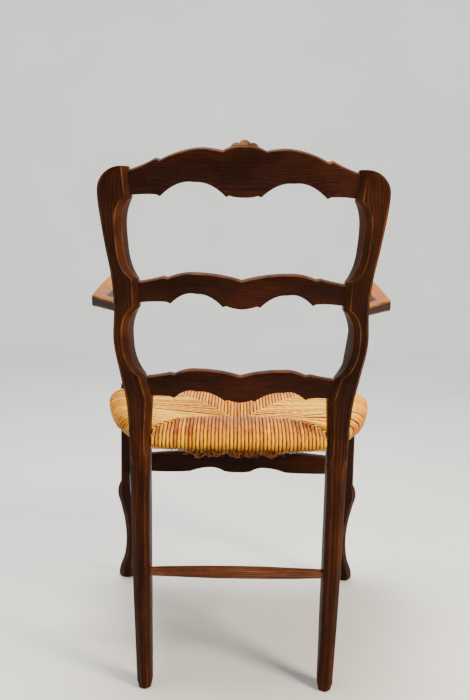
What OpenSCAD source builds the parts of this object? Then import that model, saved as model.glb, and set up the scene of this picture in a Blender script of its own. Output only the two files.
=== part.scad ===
// Ladder-back dining armchair with a rush seat, in millimetres.
// +Z is up and the front of the chair faces -Y. The origin is on the floor,
// under the middle of the chair. "left" and "right" are the sitter's own.

/* [Overall] */
// Height of the rolled edge of the seat
seat_h = 464; // [430:1:560]
// Height of the tops of the rear posts
back_h = 925; // [840:1:1120]
// Distance between the front legs, middle to middle
front_w = 484; // [400:1:590]
// Distance between the rear legs at the seat, middle to middle
rear_w = 356; // [300:1:430]
// Distance from the rear legs to the front legs at the seat, middle to middle
seat_d = 425; // [350:1:515]
// How far the rear feet stand behind the seat
leg_kick = 55; // [30:1:80]
// How far the post tops lean behind the seat
back_rake = 80; // [50:1:110]

/* [Rear posts] */
// Width of a post at the seat
post_w = 38; // [34:0.5:46]
// Depth of a post at the seat
post_d = 40; // [34:0.5:48]
// Width of the chamfer on the rear inner arris
post_chamfer = 11; // [6:0.5:13]
// Radius of the rounded outer shoulder at the top
shoulder_r = 40; // [30:1:46]
// How much wider apart the posts stand at the crest than at the seat, each side
post_splay = 45; // [25:1:60]

/* [Crest rail and slats] */
// Height of the middle of the crest rail at its ends, below the post tops
crest_drop = 29; // [26:0.5:40]
// Height of the lower slat above the seat
slat_rise = 80; // [60:1:110]
// Height of the crest rail where it meets the posts
crest_end = 41; // [34:0.5:46]
// Height of a slat where it meets the posts
slat_end = 37; // [30:0.5:42]
// Thickness of the crest rail and the slats
slat_t = 17; // [14:0.5:20]
// How far the crest rail and the slats bow back
slat_bow = 7; // [3:0.5:10]
// Depth of the carving on the crest rail
carving_t = 5; // [3:0.5:7]

/* [Front legs] */
// Width of the square part of a front leg
leg_w = 46; // [40:0.5:52]
// Height where the square part starts, above the knee
block_z = 245; // [220:1:262]
// Width of the ankle
ankle_w = 26; // [22:0.5:32]

/* [Front apron] */
// Height of the apron at its ends
apron_end = 36; // [30:0.5:42]
// Height of the apron's middle above the floor
apron_z = 284; // [276:1:300]
// Thickness of the apron
apron_t = 20; // [16:0.5:24]

/* [Arms] */
// Height of the top of the arms at the rear posts
arm_h = 700; // [640:1:800]
// How much higher the arms are at the front
arm_lift = 22; // [10:1:34]
// Thickness of an arm
arm_t = 21; // [18:0.5:26]
// Width of an arm in front of its elbow
arm_w = 31; // [28:0.5:36]
// How far an arm passes the middle of its support
arm_end = 36; // [28:1:46]
// How far an elbow stands out from its post
elbow_out = 56; // [44:1:66]

/* [Seat] */
// Height of a seat rail
rail_h = 26; // [20:0.5:28]
// Width of a seat rail
rail_w = 20; // [16:0.5:22]
// Thickness of the rush around a rail, above and below it
rush_t = 8; // [6:0.5:10]
// How far the rush stands out from the middle of the front rail
rush_front = 34; // [26:0.5:40]
// How far it stands out from the middle of a side rail, at its front end
rush_side = 52; // [40:0.5:56]
// How far it stands out from the middle of a side rail, at its rear end
rush_back = 29; // [27:0.5:34]
// How far the middle of the seat sinks
seat_dish = 20; // [12:0.5:24]

/* [Stretchers] */
// Height of the rear stretcher
rear_str_z = 207; // [180:1:225]
// Height of the side stretchers
side_str_z = 270; // [262:1:280]
// Diameter of a stretcher in its middle
str_mid_d = 23; // [20:0.5:26]
// Diameter of a stretcher at its ends
str_end_d = 16; // [14:0.5:17]

/* [Joinery] */
// Gap between a tenon and its mortise
fit = 0.2; // [0.1:0.05:0.3]
// How deep the tenons of the crest rail, the slats and the apron go
tenon_l = 20; // [14:0.5:22]
// Thickness of those tenons
tenon_t = 8; // [6:0.5:9]
// How deep the tenons of the seat rails go
rail_tenon_l = 15; // [12:0.5:15.5]
// How deep a stretcher goes into a leg
socket_l = 18; // [14:0.5:20]
// Diameter of a peg
peg_d = 6; // [5:0.5:7]
// Diameter of the round tenons of the arms
arm_tenon_d = 12; // [10:0.5:14]

/* [Hidden] */
$fn = 48;

WALNUT = "#4a2313";
HONEY = "#a8682f";
RUSH = "#d9a850";
PEG = "#5b3019";

// ---- places that follow from the sizes ----
rear_half = rear_w / 2;
front_half = front_w / 2;
foot_fwd = 28;                                  // middle of a front foot, ahead of its leg's middle
foot_l = 38;                                    // length of a front foot
tenon_shoulder = 6;                             // step above and below a tenon
crest_z = back_h - crest_drop;
low_z = seat_h + slat_rise;
mid_z = low_z + (crest_z - low_z) * 0.48;
crest_block = [crest_z - crest_end / 2 - 2, crest_z + crest_end / 2 + 2];
mid_block = [mid_z - slat_end / 2 - 6, mid_z + slat_end / 2 + 6];
low_block = [low_z - slat_end / 2 - 3, low_z + slat_end / 2 + 3];
post_top_t = 34;                                // depth of a post at its top and at its foot
crest_rise = 66;                                // top of the crest rail, above its ends' middle
// how far a post stands behind its middle at the seat, and its lean there
function post_back(z) = z < seat_h ? leg_kick * pow(1 - z / seat_h, 1.15)
    : back_rake * pow((z - seat_h) / (back_h - seat_h), 1.5);
function post_lean(z) = atan((post_back(z + 1) - post_back(z - 1)) / 2);
// the chair's middle lies halfway between its front toes and the top of its crest rail
rear_reach = post_back(crest_z) + crest_rise * sin(post_lean(crest_z))
    + (slat_bow + slat_t / 2) * cos(post_lean(crest_z));
y_rear = (seat_d + foot_fwd + foot_l / 2 - rear_reach) / 2;
y_front = y_rear - seat_d;
rail_top = seat_h - rush_t;
rail_mid = rail_top - rail_h / 2;
side_turn = atan((front_half - rear_half) / seat_d);
arm_slope = atan(arm_lift / (seat_d - 20));
arm_front_top = arm_h + arm_lift;

// ---- helpers ----
function clamp01(t) = min(1, max(0, t));
// 0 at both ends of a scoop and 1 over most of it
function scoop(t, p) = 1 - pow(abs(2 * clamp01(t) - 1), p);
// smooth curve through stations [z, a, b, ...]
function seg(st, z, i = 0) = i >= len(st) - 2 || z < st[i + 1][0] ? i : seg(st, z, i + 1);
function spline(st, z, k) =
    let (i = seg(st, z), n = len(st) - 1, h = st[i + 1][0] - st[i][0],
         t = clamp01((z - st[i][0]) / h),
         m0 = i == 0 ? st[1][k] - st[0][k]
            : (st[i + 1][k] - st[i - 1][k]) / (st[i + 1][0] - st[i - 1][0]) * h,
         m1 = i + 1 == n ? st[n][k] - st[n - 1][k]
            : (st[i + 2][k] - st[i][k]) / (st[i + 2][0] - st[i][0]) * h)
    (2 * t * t * t - 3 * t * t + 1) * st[i][k] + (t * t * t - 2 * t * t + t) * m0
    + (3 * t * t - 2 * t * t * t) * st[i + 1][k] + (t * t * t - t * t) * m1;
// points from p to q on a parabola that bulges up by b, without q
function bow(p, q, b, n = 6) = [for (i = [0:n - 1]) let (t = i / n)
    [p[0] + (q[0] - p[0]) * t, p[1] + (q[1] - p[1]) * t + 4 * b * t * (1 - t)]];
// an outline from corners [x, z, bulge of the curve to the next corner]
function curve(c) = concat([for (i = [0:len(c) - 2]) each bow(c[i], c[i + 1], c[i][2])],
                           [[c[len(c) - 1][0], c[len(c) - 1][1]]]);
function mirrored(pts) = [for (i = [len(pts) - 2:-1:0]) [-pts[i][0], pts[i][1]]];
function steps(z0, z1, n) = [for (i = [0:n - 1]) z0 + (z1 - z0) * i / n];

// skin over rings of points that all have the same count, from the lowest ring up
module loft(rings) {
    n = len(rings[0]);
    m = len(rings);
    polyhedron(
        points = [for (r = rings) each r],
        faces = concat(
            [[for (j = [0:n - 1]) j]],
            [for (i = [0:m - 2], j = [0:n - 1]) [i * n + j, (i + 1) * n + j, (i + 1) * n + (j + 1) % n]],
            [for (i = [0:m - 2], j = [0:n - 1]) [i * n + j, (i + 1) * n + (j + 1) % n, i * n + (j + 1) % n]],
            [[for (j = [n - 1:-1:0]) (m - 1) * n + j]]),
        convexity = 6);
}
module both_sides() {
    children();
    mirror([1, 0, 0]) children();
}
// a round bar along +X
module bar_x(d, l) { rotate([0, 90, 0]) cylinder(d = d, h = l); }

// ---- rear posts ----
// depth line: kicked back to the foot, upright at the seat, raked back above it
function post_y(z) = y_rear + post_back(z);
function post_t(z) = z < seat_h
    ? post_top_t + (post_d - post_top_t) * z / seat_h
    : post_d + (post_top_t - post_d) * (z - seat_h) / (back_h - seat_h);

post_foot_w = 27;
foot_in = 15.5;                                 // the foot's middle, inside the leg's middle at the seat
post_outer = [
    [0, -foot_in + post_foot_w / 2],
    [rear_str_z, 9.5],
    [seat_h, post_w / 2],
    [low_block[0], post_w / 2 + 5],
    [low_block[1], post_w / 2 + 14],
    [(low_block[1] + mid_block[0]) / 2, post_w / 2 + 25],
    [mid_block[0], post_w / 2 + 23],
    [mid_block[1], post_w / 2 + 26],
    [(mid_block[1] + crest_block[0]) / 2, post_w / 2 + post_splay - 8],
    [crest_block[0], post_w / 2 + post_splay],
    [back_h, post_w / 2 + post_splay - 2]
];
shoulder_z = back_h - shoulder_r;
function post_out(z) = rear_half + (z <= shoulder_z ? spline(post_outer, z, 1)
    : spline(post_outer, shoulder_z, 1) - shoulder_r
      + shoulder_r * sqrt(max(0, 1 - pow((z - shoulder_z) / shoulder_r, 2))));

// inner edge: flat faces at the joints, scooped out between them
in_foot = -foot_in - post_foot_w / 2;
in_seat = -post_w / 2;
in_low = [-post_w / 2 - 3, -post_w / 2 + 9];
in_mid = [-post_w / 2 + 17, -post_w / 2 + 18.5];
in_crest = [-post_w / 2 + post_splay - 18, -post_w / 2 + post_splay - 15];
function mix(a, b, t) = a + (b - a) * t;
function part_of(z, lo, hi) = (z - lo) / (hi - lo);
function post_in(z) = rear_half + (
    z < seat_h ? mix(in_foot, in_seat, z / seat_h)
    : z < low_block[0] ? mix(in_seat, in_low[0], part_of(z, seat_h, low_block[0]))
    : z <= low_block[1] ? mix(in_low[0], in_low[1], part_of(z, low_block[0], low_block[1]))
    : z < mid_block[0] ? let (t = part_of(z, low_block[1], mid_block[0]))
        mix(in_low[1], in_mid[0], t) + 17 * scoop(t, 2.5)
    : z <= mid_block[1] ? mix(in_mid[0], in_mid[1], part_of(z, mid_block[0], mid_block[1]))
    : z < crest_block[0] ? let (t = part_of(z, mid_block[1], crest_block[0]))
        mix(in_mid[1], in_crest[0], t) + 14 * scoop(t, 3)
    : mix(in_crest[0], in_crest[1], part_of(z, crest_block[0], crest_block[1])));
// slant of the inner face, none at the joints
function post_slant(z) = 7 * (
    z < seat_h - 60 ? 0.4 * scoop(part_of(z, 30, seat_h - 60), 8)
    : z < low_block[0] ? 0
    : z < mid_block[0] ? scoop(part_of(z, low_block[1], mid_block[0]), 8)
    : z < crest_block[0] ? scoop(part_of(z, mid_block[1], crest_block[0]), 8) : 0);
function leg_chamfer(z) = z < seat_h ? 8 * clamp01((seat_h - 40 - z) / 20) : 0;
function foot_cut(z) = z < 12 ? 3 * (1 - z / 12) : 0;
// one level of a post; g makes it larger all round
function post_ring(z, g = 0) =
    let (t = post_t(z) / 2 + g - foot_cut(z), y = post_y(z), o = post_out(z) + g - foot_cut(z),
         i = post_in(z) - g + foot_cut(z), s = post_slant(z), f = 3 + leg_chamfer(z) / 2,
         r = 3 + leg_chamfer(z) * 0.6, c = post_chamfer - 3 * clamp01(leg_chamfer(z)))
    [[o - f, y - t, z], [o, y - t + f, z], [o, y + t - r, z], [o - r, y + t, z],
     [i + s + c, y + t, z], [i + s, y + t - c, z], [i, y - t + f, z], [i + f, y - t, z]];
post_levels = concat(
    [0, 4, 12], steps(30, seat_h - 70, 9), [seat_h - 60, seat_h - 42, seat_h - 20, seat_h + 6],
    [(seat_h + low_block[0]) / 2], steps(low_block[0], low_block[1], 3),
    steps(low_block[1], mid_block[0], 14), steps(mid_block[0], mid_block[1], 3),
    steps(mid_block[1], crest_block[0], 14), [crest_block[0], shoulder_z],
    [for (a = [15:15:90]) shoulder_z + shoulder_r * sin(a)]);
module post_blank(g = 0, lo = 0, hi = 10000) {
    loft([for (z = post_levels) if (z >= lo && z <= hi) post_ring(z, g)]);
}

// ---- crest rail and slats ----
// outlines are for one half, from the end to the middle, and heights are from the rail's own middle
end_x = post_in(crest_z);
crest_top = [[end_x + 9, 21, -2], [end_x - 42, 43, 0], [end_x - 50, 41, 5],
             [64, 62, 0.5], [35.5, 58, 3], [0, crest_rise]];
crest_low = [[end_x + 9, -20, 2], [end_x - 50, -16.5, 8], [82, 6.5, 7], [27, -15, -0.5], [0, -17]];
mid_x = post_in(mid_z);
mid_top = [[mid_x + 9, 18.5, -1], [mid_x - 42, 30, 0], [mid_x - 50, 28.5, 3], [78, 38, 3], [0, 26]];
mid_low = [[mid_x + 9, -18, 2], [mid_x - 55, -14, 7], [78, 2, 6], [29, -19, -1], [0, -24]];
low_x = post_in(low_z);
low_top = [[low_x + 9, 18.5, -1], [low_x - 38, 27, 0], [low_x - 46, 25.5, 3], [75, 34.5, 3], [0, 24]];
low_low = [[low_x + 9, -18, 2], [low_x - 46, -17, 6], [77, -5, 5], [22, -20, -1], [0, -24]];

// a flat outline in the XZ plane becomes a board bowed to the rear, with its ends on y = 0
module bowed_board(top, low, half, t) {
    up = curve(top);
    down = curve(low);
    r = (half * half + slat_bow * slat_bow) / (2 * slat_bow);
    intersection() {
        rotate([90, 0, 0]) linear_extrude(height = 120, center = true)
            polygon(concat(up, mirrored(up), [for (i = [0:len(down) - 1]) [-down[i][0], down[i][1]]],
                           [for (p = mirrored(down)) [-p[0], p[1]]]));
        translate([0, slat_bow - r, -100]) difference() {
            cylinder(r = r + t / 2, h = 220, $fn = 180);
            translate([0, 0, -1]) cylinder(r = r - t / 2, h = 222, $fn = 180);
        }
    }
}
// puts something at a rail's own place between the posts, leaning as they do
module at_rail(z) { translate([0, post_y(z), z]) rotate([-post_lean(z), 0, 0]) children(); }
// the space between the flat inner faces of the posts at a joint
module between_posts(block, top_h, low_h) {
    lo = block[0];
    hi = block[1];
    up = (post_in(hi) - post_in(lo)) / (hi - lo);
    rotate([90, 0, 0]) linear_extrude(height = 700, center = true) polygon([
        [post_in(lo) - low_h * up, lo - low_h], [post_in(hi) + top_h * up, hi + top_h],
        [-post_in(hi) - top_h * up, hi + top_h], [-post_in(lo) + low_h * up, lo - low_h]]);
}
module rail_tenons(x, h, g) {
    both_sides() translate([x - 14, -tenon_t / 2 - g, -h / 2 - g])
        cube([14 + tenon_l + g, tenon_t + 2 * g, h + 2 * g]);
}
crest_tenon_h = crest_end - 2 * tenon_shoulder;
slat_tenon_h = slat_end - 2 * tenon_shoulder;
peg_in = 9;                                     // a peg's middle, inside the joint's face
module peg_holes(x, d, front, back) {
    both_sides() translate([x + peg_in, -front, 0]) rotate([-90, 0, 0]) cylinder(d = d, h = front + back);
}
peg_front = post_d / 2 + 12;
peg_back = tenon_t / 2 + 5;
module slat(top, low, x, z, block, tenon_h) {
    difference() {
        union() {
            intersection() {
                at_rail(z) bowed_board(top, low, x, slat_t);
                between_posts(block, 80, 60);
            }
            at_rail(z) rail_tenons(x, tenon_h, 0);
        }
        at_rail(z) peg_holes(x, peg_d + 2 * fit, peg_front, peg_back);
    }
}
module slat_mortises(g) {
    at_rail(crest_z) rail_tenons(end_x, crest_tenon_h, g);
    at_rail(mid_z) rail_tenons(mid_x, slat_tenon_h, g);
    at_rail(low_z) rail_tenons(low_x, slat_tenon_h, g);
}
module slat_peg_holes() {
    at_rail(crest_z) peg_holes(end_x, peg_d + 2 * fit, peg_front, peg_back);
    at_rail(mid_z) peg_holes(mid_x, peg_d + 2 * fit, peg_front, peg_back);
    at_rail(low_z) peg_holes(low_x, peg_d + 2 * fit, peg_front, peg_back);
}
// shell-like flower: a boss, petals in a fan and two leaves, proud of the crest rail's front,
// with its tallest petals just above the rail's top
petal_l = 26;
petal_w = 20;
petal_r = 19;                                   // from the middle of the flower to the middle of a petal
leaf_l = 46;
leaf_w = 18;
carving_rise = 9;
carving_z = crest_rise + carving_rise - petal_r - petal_l / 2;
// outline of a petal or a leaf, with its middle at height up
function leaf(l, w, up) = [for (a = [9:18:351]) [w / 2 * cos(a), up + l / 2 * sin(a)]];
module carving() {
    translate([0, slat_bow - slat_t / 2 + 1, carving_z]) rotate([90, 0, 0]) {
        cylinder(d = 15, h = carving_t + 1);
        linear_extrude(height = carving_t)
            for (a = [-76:38:76]) rotate(a) polygon(leaf(petal_l, petal_w, petal_r));
        linear_extrude(height = carving_t - 1) for (s = [-1, 1]) translate([s * 33, -3])
            rotate(s * 78) polygon(leaf(leaf_l, leaf_w, 0));
    }
}

// ---- front legs, each with its arm support above the seat ----
scribe = 1;                                     // a support is cut to the arm's slope from this much higher
// stations from the foot up: level, outward, forward, width, depth, chamfer
support_top = arm_front_top - arm_t + scribe;
function up_leg(k) = block_z * k;
function up_support(k) = seat_h + 4 + (support_top - seat_h - 4) * k;
arm_mid = rear_half + post_w / 2 + 24 + elbow_out - arm_w / 2 + 4;   // middle of an arm at its support
support_out = arm_mid - front_half;
leg_low = [
    [0, 13, foot_fwd - 1, 30, foot_l - 6, 9], [up_leg(0.03), 13.5, foot_fwd, 37, foot_l, 10],
    [up_leg(0.11), 11.5, foot_fwd - 5, 35, foot_l - 2, 10],
    [up_leg(0.22), 5.5, foot_fwd / 2 - 3, ankle_w + 2, ankle_w + 2.5, 8],
    [up_leg(0.35), 1, 2, ankle_w - 0.5, ankle_w - 0.5, 8],
    [up_leg(0.48), 0.5, 0.5, ankle_w, ankle_w, 8], [up_leg(0.62), 2, 2, ankle_w + 5, ankle_w + 5, 8],
    [up_leg(0.76), 4.5, 4.5, leg_w - 5, leg_w - 5, 8], [up_leg(0.87), 6, 6, leg_w + 5, leg_w + 5, 8],
    [up_leg(0.95), 4, 4, leg_w + 3, leg_w + 3, 7], [up_leg(0.99), 0.5, 0.5, leg_w - 3, leg_w - 3, 3]
];
leg_high = [
    [up_support(0), 2, 0, leg_w - 6, leg_w - 6, 4], [up_support(0.06), 4, -2, 33, 35, 6],
    [up_support(0.25), 5, -7, 27, 29, 7], [up_support(0.5), mix(5, support_out, 0.45), 2, 24, 26, 7],
    [up_support(0.78), mix(5, support_out, 0.85), 10, 26, 29, 6], [up_support(1), support_out, 4, 29, 31, 5]
];
function leg_ring(s, z, g) =
    let (x = front_half + s[1], y = y_front - s[2], w = s[3] / 2 + g, d = s[4] / 2 + g, c = s[5])
    [[x + w - c, y - d, z], [x + w, y - d + c, z], [x + w, y + d - c, z], [x + w - c, y + d, z],
     [x - w + c, y + d, z], [x - w, y + d - c, z], [x - w, y - d + c, z], [x - w + c, y - d, z]];
function leg_rings(st, levels, g) = [for (z = levels)
    leg_ring([for (k = [0:5]) k == 0 ? z : spline(st, z, k)], z, g)];
block = [0, 0, 0, leg_w, leg_w, 2];
function block_rings(lo, g) = [for (z = [lo, seat_h - 2, seat_h + 3]) leg_ring(block, z, g)];
module leg_blank() {
    loft(concat(
        leg_rings(leg_low, concat([0, 3], steps(up_leg(0.03), up_leg(0.99), 20), [up_leg(0.99)]), 0),
        block_rings(block_z, 0),
        leg_rings(leg_high, concat(steps(up_support(0), up_support(1), 16), [up_support(1)]), 0)));
}
// the part of a front leg that the rush goes round
module leg_slice(g) {
    loft(concat(block_rings(seat_h - 80, g),
                leg_rings(leg_high, steps(up_support(0), up_support(0.3), 5), g)));
}
// the round tenon on top of a support stands square to the arm
module at_support_top() {
    translate([arm_mid, y_front - 4, support_top]) rotate([-arm_slope, 0, 0]) children();
}
support_tenon_d = 16;
support_tenon_l = 14;
module support_tenon(g) {
    at_support_top() translate([0, 0, -8])
        cylinder(d = support_tenon_d + 2 * g, h = 8 + support_tenon_l + g);
}
arm_peg_z = 6;
module arm_peg_hole(d) {
    at_support_top() translate([-arm_w / 2 - 3, 0, arm_peg_z]) bar_x(d, arm_w / 2 + 12);
}

// ---- seat rails ----
rail_tenon_h = rail_h - 8;
rail_tenon_t = 9;
rear_face = rear_half - post_w / 2;
module side_line() {
    translate([rear_half, y_rear, rail_mid]) rotate([0, 0, -90 + side_turn]) children();
}
side_l = seat_d / cos(side_turn);
module side_beam(g) {
    side_line() translate([0, -rail_w / 2 - g, -rail_h / 2 - g])
        cube([side_l, rail_w + 2 * g, rail_h + 2 * g]);
}
module side_tenons(g) {
    side_line() translate([post_d / 2 - rail_tenon_l - g, -rail_tenon_t / 2 - g, -rail_tenon_h / 2 - g])
        cube([side_l - post_d / 2 - leg_w / 2 + 2 * rail_tenon_l + 2 * g,
              rail_tenon_t + 2 * g, rail_tenon_h + 2 * g]);
}
module cross_beam(y, half, g) {
    translate([-half, y - rail_w / 2 - g, rail_mid - rail_h / 2 - g])
        cube([2 * half, rail_w + 2 * g, rail_h + 2 * g]);
}
module cross_tenons(y, half, g) {
    translate([-half - rail_tenon_l - g, y - rail_tenon_t / 2 - g, rail_mid - rail_tenon_h / 2 - g])
        cube([2 * (half + rail_tenon_l + g), rail_tenon_t + 2 * g, rail_tenon_h + 2 * g]);
}
module post_slice(g) { post_blank(g, seat_h - 65, low_block[0] + 1); }

// ---- rush seat ----
// levels of the woven pad from its rolled edge to its middle: share of the way out, height
rush_mid = rail_mid;
roll_h = rail_h / 2 + rush_t;
rush_plan = let (f = y_front - rush_front, b = y_rear + post_d / 2 - 2,
                 fx = front_half + rush_side, bx = rear_half + rush_back)
    [[fx, f], [bx, b], [-bx, b], [-fx, f]];
// the pad's plan with rounded front corners, shrunk to share k of its size about the seat's middle
seat_mid_y = (y_rear + y_front) / 2 - 8;
rush_front_r = 50;                              // how much of each side a rounded corner takes
rush_back_r = 12;
function rush_loop(k) =
    let (c = rush_plan)
    [for (i = [0:3]) let (p = c[i], q = c[(i + 3) % 4], s = c[(i + 1) % 4],
         u = (q - p) / norm(q - p), v = (s - p) / norm(s - p),
         rr = i == 0 || i == 3 ? rush_front_r : rush_back_r)
        each [for (t = [0, 0.25, 0.5, 0.75, 1])
            let (a = p + u * rr * (1 - t) * (1 - t) + v * rr * t * t)
            [a[0] * k, seat_mid_y + (a[1] - seat_mid_y) * k]]];
roll_k = 0.86;                                  // share of the way out where the rolled edge starts
low_dish = 5;                                   // how far the middle of the underside rises
function pad_rise(k) = k > roll_k ? sqrt(max(0, 1 - pow((k - roll_k) / (1 - roll_k), 2))) : 1;
function pad_top(k) = rush_mid
    + (roll_h - seat_dish * (1 - pow(min(1, k / roll_k), 2.2))) * pad_rise(k);
function pad_low(k) = rush_mid - (roll_h - low_dish * (1 - min(1, k / roll_k))) * pad_rise(k);
function flat_loop(k, z) = [for (p = rush_loop(k)) [p[0], p[1], z]];
pad_shares = [0.1, 0.3, 0.5, 0.66, 0.78, 0.86, 0.92, 0.96, 0.985];
// wide and thick are the shares of the pad's width and thickness to fill
module pad(wide = 1, thick = 1) {
    over = (1 + thick) / 2;
    under = (1 - thick) / 2;
    loft(concat(
        [for (k = pad_shares) flat_loop(k * wide, mix(pad_low(k), pad_top(k), under))],
        [flat_loop(wide, rush_mid)],
        [for (i = [len(pad_shares) - 1:-1:0]) let (k = pad_shares[i])
            flat_loop(k * wide, mix(pad_low(k), pad_top(k), over))]));
}

// ---- arms ----
post_side = post_out(arm_h - arm_t / 2);
arm_end_r = 19;                                 // radius of the rounded front end
elbow_y = y_rear - 60;
arm_root_y = post_y(arm_h - arm_t / 2) - 16;
arm_outline = let (o = arm_mid + arm_w / 2, i = arm_mid - arm_w / 2) concat(
    [[post_side - 12, arm_root_y + 20], [post_side, arm_root_y + 18], [post_side + elbow_out, elbow_y]],
    [[o + 1, (elbow_y + y_front) / 2]],
    [for (a = [0:-15:-180])
        [arm_mid + arm_end_r * cos(a), y_front - arm_end + arm_end_r * (1 + sin(a))]],
    [[i - 1, (elbow_y + y_front) / 2], [post_side + elbow_out - 28, elbow_y - 4],
     [post_side - 4, arm_root_y - 14], [post_side - 12, arm_root_y - 14]]);
module at_arm() {
    translate([0, elbow_y, arm_h]) rotate([-arm_slope, 0, 0]) translate([0, -elbow_y, 0]) children();
}
module arm_body() {
    at_arm() translate([0, 0, -arm_t]) linear_extrude(height = arm_t) polygon(arm_outline);
}
// the arm's round tenon runs straight from its root into the post
root_turn = atan2(elbow_y - arm_root_y, elbow_out);
module arm_tenon(g) {
    translate([post_side, arm_root_y, arm_h - arm_t / 2 - 2]) rotate([0, 0, root_turn])
        translate([-20 - g, 0, 0]) bar_x(arm_tenon_d + 2 * g, 34 + g);
}

// ---- stretchers ----
side_str_inset = 7;                             // its rear end, inside the middle of the post
// a turned bar along +X from x = 0, slim at both ends and fuller in the middle
module turned(l, g = 0) {
    rotate([0, 90, 0]) rotate_extrude() polygon(concat(
        [[0, 0]],
        [for (i = [0:24]) let (t = clamp01((i - 2) / 20))
            [str_end_d / 2 + g + (str_mid_d - str_end_d) / 2 * pow(sin(180 * t), 1.3), l * i / 24]],
        [[0, l]]));
}
rear_str_l = 2 * (post_in(rear_str_z) + socket_l);
side_str_back = [rear_half - side_str_inset, post_y(side_str_z)];
side_str_front = [front_half, y_front];
module at_side_stretcher() {
    d = side_str_front - side_str_back;
    translate([side_str_back[0], side_str_back[1], side_str_z])
        rotate([0, 0, atan2(d[1], d[0])]) children();
}
side_str_in = post_t(side_str_z) / 2 - socket_l + 2;
side_str_l = norm(side_str_front - side_str_back) - side_str_in - leg_w / 2 + socket_l - 2;

// ---- front apron ----
apron_x = front_half - leg_w / 2;
apron_top = [[apron_x, apron_end / 2, 4], [0, apron_end / 2 + 13]];
apron_low = [[apron_x, -apron_end / 2, -2], [108, -apron_end / 2, 2], [64, -apron_end / 2 + 10, 3],
             [30, -apron_end / 2 + 1, -1], [0, -apron_end / 2 - 1]];
apron_tenon_h = apron_end - 2 * tenon_shoulder;
module apron_tenons(g) {
    translate([-apron_x - tenon_l - g, y_front - tenon_t / 2 - g, apron_z - apron_tenon_h / 2 - g])
        cube([2 * (apron_x + tenon_l + g), tenon_t + 2 * g, apron_tenon_h + 2 * g]);
}
module apron_peg_holes(d) {
    both_sides() translate([apron_x + peg_in, y_front - leg_w / 2 - 1, apron_z])
        rotate([-90, 0, 0]) cylinder(d = d, h = leg_w / 2 + 1 + tenon_t / 2 + 5);
}

// ==== the pieces ====
module rear_post() {
    color(WALNUT) difference() {
        post_blank();
        slat_mortises(fit);
        slat_peg_holes();
        side_tenons(fit);
        cross_tenons(y_rear, rear_face, fit);
        arm_tenon(fit);
        translate([0, post_y(rear_str_z), rear_str_z]) translate([-rear_str_l / 2 - fit, 0, 0])
            bar_x(str_end_d + 2 * fit, rear_str_l + 2 * fit);
        at_side_stretcher() translate([side_str_in - fit, 0, 0]) bar_x(str_end_d + 2 * fit, 90);
    }
}
module rear_post_left() { rear_post(); }
module rear_post_right() { mirror([1, 0, 0]) rear_post(); }

module crest_rail() {
    color(WALNUT) union() {
        slat(crest_top, crest_low, end_x, crest_z, crest_block, crest_tenon_h);
        at_rail(crest_z) carving();
    }
}
module upper_slat() { color(WALNUT) slat(mid_top, mid_low, mid_x, mid_z, mid_block, slat_tenon_h); }
module lower_slat() { color(WALNUT) slat(low_top, low_low, low_x, low_z, low_block, slat_tenon_h); }

module front_leg() {
    color(WALNUT) difference() {
        union() {
            difference() {
                leg_blank();
                arm_body();
            }
            support_tenon(0);
        }
        side_tenons(fit);
        cross_tenons(y_front, apron_x, fit);
        apron_tenons(fit);
        apron_peg_holes(peg_d + 2 * fit);
        arm_peg_hole(peg_d - 1 + 2 * fit);
        at_side_stretcher() translate([60, 0, 0])
            bar_x(str_end_d + 2 * fit, side_str_in + side_str_l - 60 + fit);
    }
}
module front_leg_left() { front_leg(); }
module front_leg_right() { mirror([1, 0, 0]) front_leg(); }

module front_apron() {
    up = curve(apron_top);
    down = curve(apron_low);
    color(WALNUT) difference() {
        union() {
            translate([0, y_front, apron_z]) rotate([90, 0, 0])
                linear_extrude(height = apron_t, center = true)
                    polygon(concat(up, mirrored(up), [for (p = down) [-p[0], p[1]]],
                                   [for (p = mirrored(down)) [-p[0], p[1]]]));
            apron_tenons(0);
        }
        apron_peg_holes(peg_d + 2 * fit);
    }
}

module front_seat_rail() {
    color(HONEY) {
        cross_beam(y_front, apron_x, 0);
        cross_tenons(y_front, apron_x, 0);
    }
}
module rear_seat_rail() {
    color(HONEY) {
        difference() {
            cross_beam(y_rear, rear_half, 0);
            both_sides() post_slice(fit);
        }
        cross_tenons(y_rear, rear_face, 0);
    }
}
module side_seat_rail() {
    color(HONEY) {
        difference() {
            side_beam(0);
            post_slice(fit);
            translate([apron_x - fit, y_front - leg_w, 0]) cube([2 * leg_w, 1.5 * leg_w + fit, seat_h]);
        }
        side_tenons(0);
    }
}
module side_seat_rail_left() { side_seat_rail(); }
module side_seat_rail_right() { mirror([1, 0, 0]) side_seat_rail(); }

module seat_voids(g) {
    cross_beam(y_front, apron_x, g);
    cross_beam(y_rear, rear_half, g);
    both_sides() {
        side_beam(g);
        post_slice(g + fit);
        leg_slice(g + fit);
    }
}
stuffing_wide = 0.84;
stuffing_thick = 0.5;
module rush_seat() {
    color(RUSH) difference() {
        pad();
        pad(stuffing_wide, stuffing_thick);
        seat_voids(0);
    }
}
module seat_stuffing() {
    color(RUSH) difference() {
        pad(stuffing_wide - 0.005, stuffing_thick - 0.04);
        seat_voids(fit);
    }
}

module arm() {
    color(HONEY) difference() {
        union() {
            difference() {
                arm_body();
                post_blank(fit, arm_h - 3 * arm_t, arm_h + 2 * arm_t);
            }
            arm_tenon(0);
        }
        support_tenon(fit);
        arm_peg_hole(peg_d - 1 + 2 * fit);
    }
}
module arm_left() { arm(); }
module arm_right() { mirror([1, 0, 0]) arm(); }

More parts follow.
